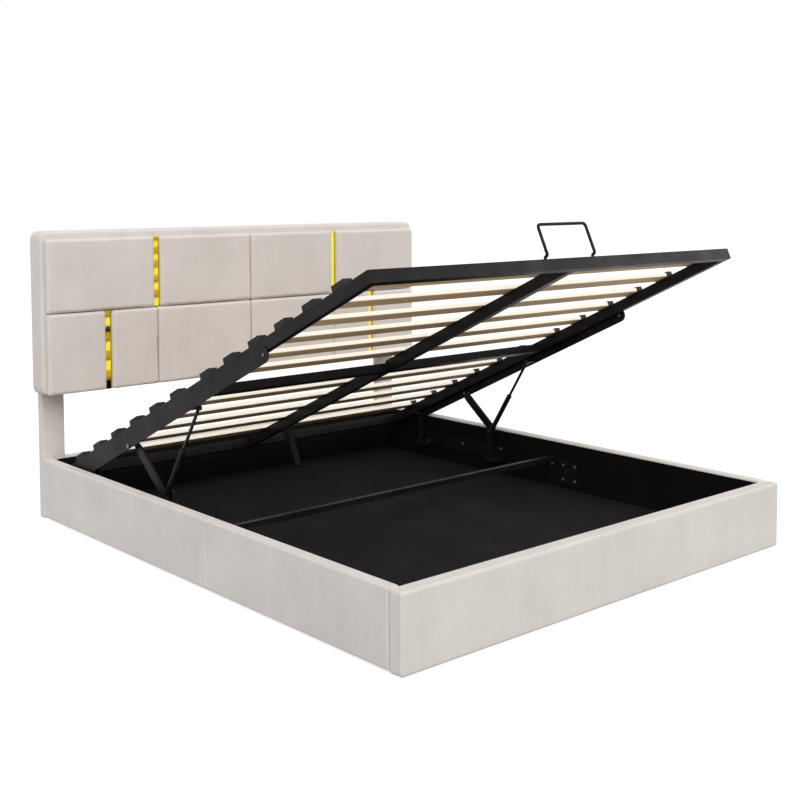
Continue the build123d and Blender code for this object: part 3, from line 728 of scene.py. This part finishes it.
class BED_OT_prepare(bpy.types.Operator):
    """Build the shared finishes of the bed"""

    bl_idname = "bed.prepare"
    bl_label = "Prepare Finishes"

    def execute(self, context):
        cloth = context.scene.bed_upholstery
        steel = context.scene.bed_steel
        wood = context.scene.bed_wood
        velvet, coat, weave = velvet_group(), coat_group(), weave_group()
        timber, metal = wood_group(), metal_group()
        finish_material("velvet_cover", velvet,
                        {"Light": cloth.light_pile, "Dark": cloth.dark_pile,
                         "Patch Scale": 5.0, "Fibre Scale": 620.0},
                        (0.25, 0.0012), Sheen_Weight=0.35, Sheen_Roughness=0.45,
                        Sheen_Tint=(0.96, 0.93, 0.9, 1.0), Specular_IOR_Level=0.25)
        finish_material("black_frame_paint", coat,
                        {"Base": steel.paint, "Dust": tone(120, 116, 112),
                         "Dust Share": 0.07, "Grain Scale": 900.0, "Low Gloss": 0.46,
                         "High Gloss": 0.34}, (0.12, 0.0004), Specular_IOR_Level=0.1)
        finish_material("strut_rod_finish", coat,
                        {"Base": steel.strut_paint, "Dust": tone(90, 90, 92),
                         "Dust Share": 0.08, "Grain Scale": 400.0, "Low Gloss": 0.3,
                         "High Gloss": 0.2}, (0.04, 0.0002), Metallic=0.6)
        finish_material("holder_moulding_finish", coat,
                        {"Base": steel.holder, "Dust": tone(110, 107, 104),
                         "Dust Share": 0.16, "Grain Scale": 1500.0, "Low Gloss": 0.7,
                         "High Gloss": 0.55}, (0.3, 0.0005), Specular_IOR_Level=0.2)
        finish_material("lining_cloth", weave,
                        {"Base": steel.lining, "Thread Scale": 260.0}, (0.35, 0.0004),
                        Specular_IOR_Level=0.08)
        finish_material("floor_cloth", weave,
                        {"Base": steel.floor_cloth, "Thread Scale": 200.0}, (0.4, 0.0005),
                        Specular_IOR_Level=0.12)
        up = platform_up()
        levels = np.concatenate([mesh_points(NODES[name].data) @ up for name in SLATS])
        # The slats' edges are painted paler as a painted highlight, and their faces darker as
        # painted shade
        finish_material("planed_slat_finish", timber,
                        {"Pale": wood.pale_wood, "Brown": wood.brown_wood,
                         "Edge": wood.lit_edge_wood, "Up": tuple(up), "Lowest": levels.min(),
                         "Highest": levels.max()}, (0.15, 0.0005), Specular_IOR_Level=0.3)
        finish_material("gold_mirror", metal,
                        {"Base": wood.gold, "Wave Scale": 21.0, "Low Gloss": 0.07,
                         "High Gloss": 0.02}, (0.05, 0.002), Metallic=1.0)
        finish_material("zinc_plate", metal,
                        {"Base": steel.zinc, "Wave Scale": 500.0, "Low Gloss": 0.42,
                         "High Gloss": 0.26}, (0.2, 0.0003), Metallic=1.0)
        return {"FINISHED"}


class BED_OT_headboard(bpy.types.Operator):
    """Wrap the headboard's board and its posts in velvet"""

    bl_idname = "bed.headboard"
    bl_label = "Wrap Headboard"

    def execute(self, context):
        cloth = context.scene.bed_upholstery
        velvet = bpy.data.materials["velvet_cover"]
        wrapped_board("headboard_cover", "headboard_board", cloth.board_edge,
                      cloth.board_corner, 1, -1, velvet)
        for side in ("left", "right"):
            wrapped_board(f"post_cover_{side}", f"post_{side}", cloth.post_edge,
                          cloth.post_edge, 1, -1, velvet)
        wrapped_board("head_rail_cover", "head_rail", cloth.post_edge, cloth.post_edge, 1, 1,
                      velvet)
        return {"FINISHED"}


class BED_OT_cushions(bpy.types.Operator):
    """Stuff the ten cushions of the headboard"""

    bl_idname = "bed.cushions"
    bl_label = "Stuff Cushions"

    def execute(self, context):
        velvet = bpy.data.materials["velvet_cover"]
        first_seed = 40
        for count, node in enumerate(CUSHIONS):
            headboard_cushion(node.replace("headboard_cushion", "stuffed_panel"), node,
                              velvet, first_seed + count)
        return {"FINISHED"}


class BED_OT_rails(bpy.types.Operator):
    """Wrap the side rails and the footboard in velvet"""

    bl_idname = "bed.rails"
    bl_label = "Wrap Rails"

    def execute(self, context):
        cloth = context.scene.bed_upholstery
        velvet = bpy.data.materials["velvet_cover"]
        for node in SIDE_RAILS:
            way = -1 if "_left_" in node else 1
            wrapped_board(f"{node}_cover", node, cloth.rail_edge, cloth.rail_edge, 0, way,
                          velvet)
        low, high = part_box("footboard")
        behind = low[1] + cloth.foot_edge + cloth.seam_width
        wrapped_board("footboard_cover", "footboard", cloth.foot_edge, cloth.foot_edge, 1, -1,
                      velvet, seams=((1, behind),))
        return {"FINISHED"}


class BED_OT_lining(bpy.types.Operator):
    """Line the storage box with black cloth"""

    bl_idname = "bed.lining"
    bl_label = "Line Storage Box"

    def execute(self, context):
        dress(LININGS, bpy.data.materials["lining_cloth"])
        dress(FLOOR_PANELS, bpy.data.materials["floor_cloth"])
        return {"FINISHED"}


class BED_OT_steelwork(bpy.types.Operator):
    """Paint the platform frame, plates, brackets, links and struts"""

    bl_idname = "bed.steelwork"
    bl_label = "Paint Steelwork"

    def execute(self, context):
        dress(STEEL, bpy.data.materials["black_frame_paint"])
        dress(STRUT_RODS, bpy.data.materials["strut_rod_finish"])
        dress(HOLDERS, bpy.data.materials["holder_moulding_finish"])
        return {"FINISHED"}


class BED_OT_slats(bpy.types.Operator):
    """Give the slats their planed wood"""

    bl_idname = "bed.slats"
    bl_label = "Finish Slats"

    def execute(self, context):
        dress(SLATS, bpy.data.materials["planed_slat_finish"])
        return {"FINISHED"}


class BED_OT_gold(bpy.types.Operator):
    """Polish the gold strips of the headboard"""

    bl_idname = "bed.gold"
    bl_label = "Polish Gold Strips"

    def execute(self, context):
        dress(GOLD, bpy.data.materials["gold_mirror"])
        return {"FINISHED"}


class BED_OT_fasteners(bpy.types.Operator):
    """Make the bolts of the rails and the headboard, and plate the pins"""

    bl_idname = "bed.fasteners"
    bl_label = "Make Fasteners"

    def execute(self, context):
        zinc = bpy.data.materials["zinc_plate"]
        dress(PINS, zinc)
        places, ways = [], []
        radius, height = RAIL_BOLT_HEAD
        for low, high in loose_parts("frame_bolts"):
            way = 1.0 if low[0] < 0 else -1.0
            face = high[0] - height if way > 0 else low[0] + height
            places.append(np.array([face, (low[1] + high[1]) / 2, (low[2] + high[2]) / 2]))
            ways.append(np.array([way, 0.0, 0.0]))
        bolt_heads("rail_bolt_heads", "frame_bolts", places, ways, radius, height, zinc)
        places, ways = [], []
        radius, height = BOARD_BOLT_HEAD
        for low, high in loose_parts("headboard_bolts"):
            places.append(np.array([(low[0] + high[0]) / 2, high[1] - height,
                                    (low[2] + high[2]) / 2]))
            ways.append(np.array([0.0, 1.0, 0.0]))
        bolt_heads("headboard_bolt_heads", "headboard_bolts", places, ways, radius, height, zinc)
        return {"FINISHED"}


class BED_OT_stage(bpy.types.Operator):
    """Build the pale floor, the soft light and the camera"""

    bl_idname = "bed.stage"
    bl_label = "Build Studio"

    def execute(self, context):
        stage = context.scene.bed_stage
        self.floor(stage)
        self.light(stage)
        self.sky(context, stage)
        self.camera(context, stage)
        context.scene.view_settings.view_transform = "Standard"
        return {"FINISHED"}

    def floor(self, stage):
        """A wide square on the ground that looks white and keeps soft shadows."""
        half, level = 30.0, -0.0002
        corners = [(-half, -half, level), (half, -half, level), (half, half, level),
                   (-half, half, level)]
        material = bpy.data.materials.new("studio_floor")
        material.use_nodes = True
        tree = material.node_tree
        shader = tree.nodes["Principled BSDF"]
        place = tree.nodes.new("ShaderNodeTexCoord").outputs["Object"]
        speck = spread(tree, noise(tree, place, 3.0, detail=3.0), 0.3, 0.7, 0.98, 1.0)
        colour = add_node(tree, "ShaderNodeVectorMath", {0: tuple(stage.floor)},
                          operation="SCALE")
        tree.links.new(speck, colour.inputs["Scale"])
        tree.links.new(colour.outputs["Vector"], shader.inputs["Base Color"])
        shader.inputs["Roughness"].default_value = 0.9
        glow = tree.nodes.new("ShaderNodeEmission")
        rays = tree.nodes.new("ShaderNodeLightPath")
        seen = maths(tree, "MAXIMUM", rays.outputs["Is Camera Ray"],
                     rays.outputs["Is Glossy Ray"])
        tree.links.new(maths(tree, "MULTIPLY", seen, stage.floor_glow),
                       glow.inputs["Strength"])
        both = tree.nodes.new("ShaderNodeAddShader")
        tree.links.new(shader.outputs["BSDF"], both.inputs[0])
        tree.links.new(glow.outputs["Emission"], both.inputs[1])
        tree.links.new(both.outputs["Shader"], tree.nodes["Material Output"].inputs["Surface"])
        mesh = bpy.data.meshes.new("studio_floor")
        mesh.from_pydata(corners, [], [(0, 1, 2, 3)])
        mesh.materials.append(material)
        floor = bpy.data.objects.new("studio_floor", mesh)
        bpy.context.scene.collection.objects.link(floor)

    def light(self, stage):
        """Two wide soft suns, one from the left foot end and a weak one from the right."""
        for name, strength in (("key_light", stage.key), ("side_light", stage.side)):
            width, tilt, turn = SUNS[name]
            lamp = bpy.data.lights.new(name, "SUN")
            lamp.energy = strength
            lamp.angle = math.radians(width)
            sun = bpy.data.objects.new(name, lamp)
            sun.rotation_euler = (math.radians(tilt), 0.0, math.radians(turn))
            bpy.context.scene.collection.objects.link(sun)

    def sky(self, context, stage):
        """Even light all round, seen as plain white."""
        world = bpy.data.worlds.new("studio_sky")
        world.use_nodes = True
        context.scene.world = world
        tree = world.node_tree
        shine = tree.nodes["Background"]
        shine.inputs["Color"].default_value = (1.0, 1.0, 1.0, 1.0)
        rays = tree.nodes.new("ShaderNodeLightPath")
        seen = maths(tree, "MAXIMUM", rays.outputs["Is Camera Ray"],
                     rays.outputs["Is Glossy Ray"])
        seen = maths(tree, "MAXIMUM", seen, rays.outputs["Is Transmission Ray"])
        tree.links.new(spread(tree, seen, 0.0, 1.0, stage.sky, 1.0), shine.inputs["Strength"])

    def camera(self, context, stage):
        """The photograph's viewpoint, turned about the vertical, down and about its axis."""
        data = bpy.data.cameras.new("photo_camera")
        data.sensor_width = 36.0  # millimetres, as the lens
        data.lens = stage.lens
        data.shift_x, data.shift_y = stage.shift
        camera = bpy.data.objects.new("photo_camera", data)
        camera.location = stage.camera_place
        turn = (Matrix.Rotation(-stage.camera_turn, 3, "Z")
                @ Matrix.Rotation(math.pi / 2 - stage.camera_drop, 3, "X")
                @ Matrix.Rotation(stage.camera_roll, 3, "Z"))
        camera.rotation_euler = turn.to_euler()
        context.scene.collection.objects.link(camera)
        context.scene.camera = camera


STEPS = (BED_OT_prepare, BED_OT_headboard, BED_OT_cushions, BED_OT_rails, BED_OT_lining,
         BED_OT_steelwork, BED_OT_slats, BED_OT_gold, BED_OT_fasteners, BED_OT_stage)


class BED_PT_panel(bpy.types.Panel):
    """The bed's steps and settings in the sidebar"""

    bl_label = "Storage Bed"
    bl_idname = "BED_PT_panel"
    bl_space_type = "VIEW_3D"
    bl_region_type = "UI"
    bl_category = "Storage Bed"

    def draw(self, context):
        column = self.layout.column()
        for step in STEPS:
            column.operator(step.bl_idname)
        for group in (context.scene.bed_upholstery, context.scene.bed_steel,
                      context.scene.bed_wood, context.scene.bed_stage):
            box = self.layout.box()
            for name in group.__annotations__:
                box.prop(group, name)


SETTINGS = (("bed_upholstery", BedUpholsterySettings), ("bed_steel", BedSteelSettings),
            ("bed_wood", BedWoodSettings), ("bed_stage", BedStageSettings))


def register():
    """Register the settings, the steps and the panel."""
    for name, group in SETTINGS:
        bpy.utils.register_class(group)
        setattr(bpy.types.Scene, name, bpy.props.PointerProperty(type=group))
    for step in STEPS:
        bpy.utils.register_class(step)
    bpy.utils.register_class(BED_PT_panel)


def unregister():
    """Remove what register added."""
    bpy.utils.unregister_class(BED_PT_panel)
    for step in reversed(STEPS):
        bpy.utils.unregister_class(step)
    for name, group in reversed(SETTINGS):
        delattr(bpy.types.Scene, name)
        bpy.utils.unregister_class(group)


def main():
    """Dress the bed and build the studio."""
    register()
    bpy.ops.bed.prepare()
    bpy.ops.bed.headboard()
    bpy.ops.bed.cushions()
    bpy.ops.bed.rails()
    bpy.ops.bed.lining()
    bpy.ops.bed.steelwork()
    bpy.ops.bed.slats()
    bpy.ops.bed.gold()
    bpy.ops.bed.fasteners()
    bpy.ops.bed.stage()


if __name__ == "__main__":
    main()
